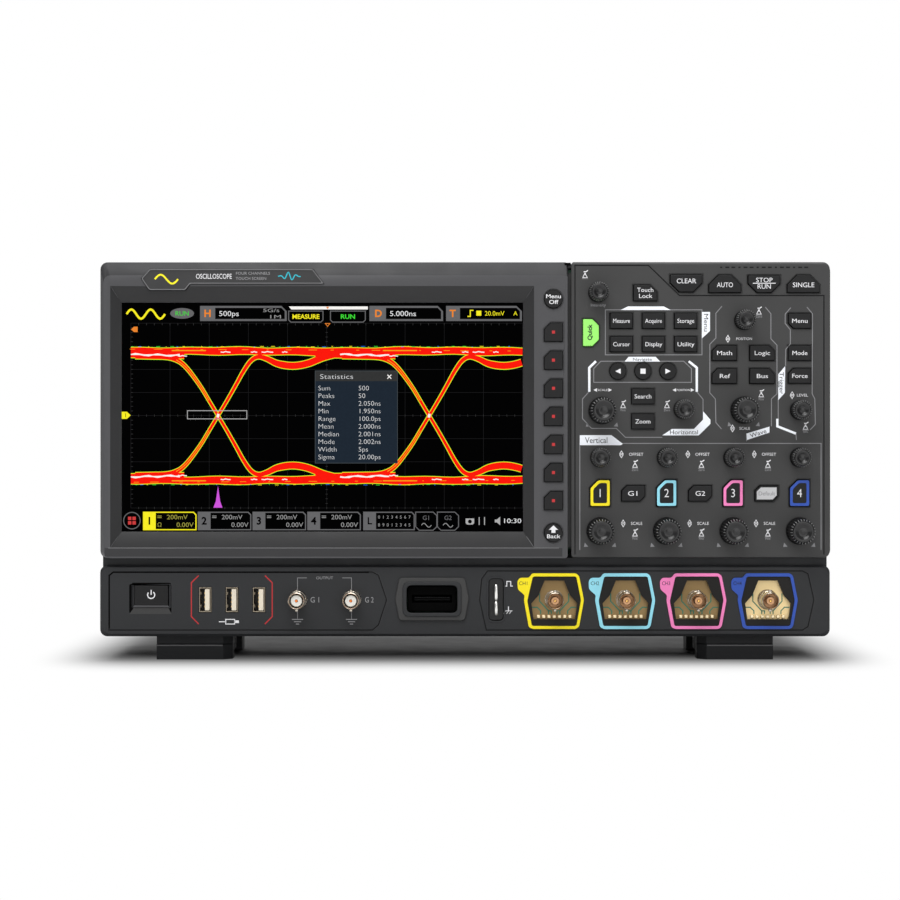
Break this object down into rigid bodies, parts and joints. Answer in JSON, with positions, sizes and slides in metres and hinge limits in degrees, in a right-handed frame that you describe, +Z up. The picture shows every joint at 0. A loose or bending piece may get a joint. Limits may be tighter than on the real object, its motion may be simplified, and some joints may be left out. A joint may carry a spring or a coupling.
{
  "type": "oscilloscope",
  "caption": "Bench digital oscilloscope with a wide touch screen beside a keypad and knob panel, a row of coaxial inputs below, a folding handle and bench legs.",
  "frame": {"origin": "on the bench plane under the centre of the bounding box", "axes": "+Z up, -Y out of the front panel towards the operator, +X to the operator's right"},
  "size_m": [0.41, 0.135, 0.224],
  "materials": {
    "bezel_grey": "fine-textured dark grey moulding",
    "panel_grey": "fine-textured charcoal moulding",
    "case_grey": "fine-textured near-black moulding",
    "badge": "satin blank plate with a raised rim",
    "key_black": "matt black key with printed legend",
    "key_green": "light green key",
    "key_white": "white key",
    "knob_black": "fluted soft black grip",
    "screen_glass": "clear touch glass over the lit display",
    "display_unit": "folded metal tray",
    "sheet_steel": "zinc-plated sheet",
    "circuit_board": "green solder mask",
    "contact_board": "gold-plated contact board",
    "nickel": "nickel-plated connector",
    "black_moulding": "black moulded plastic"
  },
  "bodies": {
    "case": {"display_bezel": "bezel_grey", "badge_plate": "badge", "control_panel": "panel_grey", "connector_panel": "case_grey", "rear_cover": "case_grey", "touch_glass": "screen_glass", "lcd_panel": "display_unit", "chassis": "sheet_steel", "main_board": "circuit_board", "keypad_board": "circuit_board", "probe_interface_board": "contact_board", "power_supply": "sheet_steel", "fan_frame": "black_moulding", "bnc_channel_1": "nickel", "bnc_channel_2": "nickel", "bnc_channel_3": "nickel", "bnc_channel_4": "nickel", "bnc_generator_1": "nickel", "bnc_generator_2": "nickel", "usb_ports": "nickel", "logic_port": "black_moulding", "calibration_terminals": "black_moulding", "rear_io_panel": "sheet_steel", "power_inlet": "black_moulding"},
    "bench_leg_left": {"bench_leg_left": "case_grey"},
    "bench_leg_right": {"bench_leg_right": "case_grey"},
    "carrying_handle": {"carrying_handle": "case_grey"},
    "fan_rotor": {"fan_rotor": "black_moulding"},
    "key_power": {"key_power": "key_black"},
    "key_run_stop": {"key_run_stop": "key_black"},
    "key_single": {"key_single": "key_black"},
    "key_auto": {"key_auto": "key_black"},
    "key_clear": {"key_clear": "key_black"},
    "key_ch1": {"key_ch1": "key_black"},
    "key_quick": {"key_quick": "key_green"},
    "key_default": {"key_default": "key_white"},
    "key_touch_lock": {"key_touch_lock": "key_black"},
    "key_ch2": {"key_ch2": "key_black"},
    "key_ch3": {"key_ch3": "key_black"},
    "key_ch4": {"key_ch4": "key_black"},
    "softkey_pad": {"softkey_pad": "key_black"},
    "menu_keypad": {"menu_keypad": "key_black"},
    "horizontal_keypad": {"horizontal_keypad": "key_black"},
    "wave_keypad": {"wave_keypad": "key_black"},
    "trigger_keypad": {"trigger_keypad": "key_black"},
    "generator_keypad": {"generator_keypad": "key_black"},
    "knob_horizontal_scale": {"knob_horizontal_scale": "knob_black"},
    "knob_wave_scale": {"knob_wave_scale": "knob_black"},
    "knob_scale_1": {"knob_scale_1": "knob_black"},
    "knob_offset_1": {"knob_offset_1": "knob_black"},
    "knob_trigger_level": {"knob_trigger_level": "knob_black"},
    "knob_intensity": {"knob_intensity": "knob_black"},
    "knob_horizontal_position": {"knob_horizontal_position": "knob_black"},
    "knob_wave_position": {"knob_wave_position": "knob_black"},
    "knob_scale_2": {"knob_scale_2": "knob_black"},
    "knob_scale_3": {"knob_scale_3": "knob_black"},
    "knob_scale_4": {"knob_scale_4": "knob_black"},
    "knob_offset_2": {"knob_offset_2": "knob_black"},
    "knob_offset_3": {"knob_offset_3": "knob_black"},
    "knob_offset_4": {"knob_offset_4": "knob_black"}
  },
  "joints": [
    {"name": "bench_leg_left_swing", "type": "hinge", "parent": "case", "child": "bench_leg_left", "pos_m": [-0.1533, -0.01, 0.009], "axis": [-1, 0, 0], "range_deg": [0, 90]},
    {"name": "bench_leg_right_swing", "type": "hinge", "parent": "case", "child": "bench_leg_right", "pos_m": [0.1533, -0.01, 0.009], "axis": [-1, 0, 0], "range_deg": [0, 90]},
    {"name": "carrying_handle_swing", "type": "hinge", "parent": "case", "child": "carrying_handle", "pos_m": [0, -0.002, 0.2175], "axis": [1, 0, 0], "range_deg": [0, 90]},
    {"name": "fan_spin", "type": "hinge", "parent": "case", "child": "fan_rotor", "pos_m": [0.11, 0.045, 0.13], "axis": [0, 1, 0], "continuous": true},
    {"name": "key_power_press", "type": "slide", "parent": "case", "child": "key_power", "axis": [0, 1, 0], "range_m": [0, 0.001]},
    {"name": "key_run_stop_press", "type": "slide", "parent": "case", "child": "key_run_stop", "axis": [0, 1, 0], "range_m": [0, 0.0008]},
    {"name": "key_single_press", "type": "slide", "parent": "case", "child": "key_single", "axis": [0, 1, 0], "range_m": [0, 0.0008]},
    {"name": "key_auto_press", "type": "slide", "parent": "case", "child": "key_auto", "axis": [0, 1, 0], "range_m": [0, 0.0008]},
    {"name": "key_clear_press", "type": "slide", "parent": "case", "child": "key_clear", "axis": [0, 1, 0], "range_m": [0, 0.0008]},
    {"name": "key_ch1_press", "type": "slide", "parent": "case", "child": "key_ch1", "axis": [0, 1, 0], "range_m": [0, 0.0008]},
    {"name": "key_quick_press", "type": "slide", "parent": "case", "child": "key_quick", "axis": [0, 1, 0], "range_m": [0, 0.0008]},
    {"name": "key_default_press", "type": "slide", "parent": "case", "child": "key_default", "axis": [0, 1, 0], "range_m": [0, 0.0008]},
    {"name": "key_touch_lock_press", "type": "slide", "parent": "case", "child": "key_touch_lock", "axis": [0, 1, 0], "range_m": [0, 0.0008]},
    {"name": "key_ch2_press", "type": "slide", "parent": "case", "child": "key_ch2", "axis": [0, 1, 0], "range_m": [0, 0.0008]},
    {"name": "key_ch3_press", "type": "slide", "parent": "case", "child": "key_ch3", "axis": [0, 1, 0], "range_m": [0, 0.0008]},
    {"name": "key_ch4_press", "type": "slide", "parent": "case", "child": "key_ch4", "axis": [0, 1, 0], "range_m": [0, 0.0008]},
    {"name": "softkey_pad_press", "type": "slide", "parent": "case", "child": "softkey_pad", "axis": [0, 1, 0], "range_m": [0, 0.0008]},
    {"name": "menu_keypad_press", "type": "slide", "parent": "case", "child": "menu_keypad", "axis": [0, 1, 0], "range_m": [0, 0.0008]},
    {"name": "horizontal_keypad_press", "type": "slide", "parent": "case", "child": "horizontal_keypad", "axis": [0, 1, 0], "range_m": [0, 0.0008]},
    {"name": "wave_keypad_press", "type": "slide", "parent": "case", "child": "wave_keypad", "axis": [0, 1, 0], "range_m": [0, 0.0008]},
    {"name": "trigger_keypad_press", "type": "slide", "parent": "case", "child": "trigger_keypad", "axis": [0, 1, 0], "range_m": [0, 0.0008]},
    {"name": "generator_keypad_press", "type": "slide", "parent": "case", "child": "generator_keypad", "axis": [0, 1, 0], "range_m": [0, 0.0008]},
    {"name": "knob_horizontal_scale_turn", "type": "hinge", "parent": "case", "child": "knob_horizontal_scale", "pos_m": [0.0767, -0.05, 0.1408], "axis": [0, -1, 0], "continuous": true},
    {"name": "knob_wave_scale_turn", "type": "hinge", "parent": "case", "child": "knob_wave_scale", "pos_m": [0.1561, -0.05, 0.141], "axis": [0, -1, 0], "continuous": true},
    {"name": "knob_scale_1_turn", "type": "hinge", "parent": "case", "child": "knob_scale_1", "pos_m": [0.0756, -0.05, 0.0734], "axis": [0, -1, 0], "continuous": true},
    {"name": "knob_offset_1_turn", "type": "hinge", "parent": "case", "child": "knob_offset_1", "pos_m": [0.0756, -0.05, 0.1145], "axis": [0, -1, 0], "continuous": true},
    {"name": "knob_trigger_level_turn", "type": "hinge", "parent": "case", "child": "knob_trigger_level", "pos_m": [0.1873, -0.05, 0.141], "axis": [0, -1, 0], "continuous": true},
    {"name": "knob_intensity_turn", "type": "hinge", "parent": "case", "child": "knob_intensity", "pos_m": [0.0745, -0.05, 0.2068], "axis": [0, -1, 0], "continuous": true},
    {"name": "knob_horizontal_position_turn", "type": "hinge", "parent": "case", "child": "knob_horizontal_position", "pos_m": [0.1221, -0.05, 0.1415], "axis": [0, -1, 0], "continuous": true},
    {"name": "knob_wave_position_turn", "type": "hinge", "parent": "case", "child": "knob_wave_position", "pos_m": [0.1561, -0.05, 0.1913], "axis": [0, -1, 0], "continuous": true},
    {"name": "knob_scale_2_turn", "type": "hinge", "parent": "case", "child": "knob_scale_2", "pos_m": [0.1128, -0.05, 0.0734], "axis": [0, -1, 0], "continuous": true},
    {"name": "knob_scale_3_turn", "type": "hinge", "parent": "case", "child": "knob_scale_3", "pos_m": [0.15, -0.05, 0.0734], "axis": [0, -1, 0], "continuous": true},
    {"name": "knob_scale_4_turn", "type": "hinge", "parent": "case", "child": "knob_scale_4", "pos_m": [0.1872, -0.05, 0.0734], "axis": [0, -1, 0], "continuous": true},
    {"name": "knob_offset_2_turn", "type": "hinge", "parent": "case", "child": "knob_offset_2", "pos_m": [0.1128, -0.05, 0.1145], "axis": [0, -1, 0], "continuous": true},
    {"name": "knob_offset_3_turn", "type": "hinge", "parent": "case", "child": "knob_offset_3", "pos_m": [0.15, -0.05, 0.1145], "axis": [0, -1, 0], "continuous": true},
    {"name": "knob_offset_4_turn", "type": "hinge", "parent": "case", "child": "knob_offset_4", "pos_m": [0.1872, -0.05, 0.1145], "axis": [0, -1, 0], "continuous": true}
  ]
}
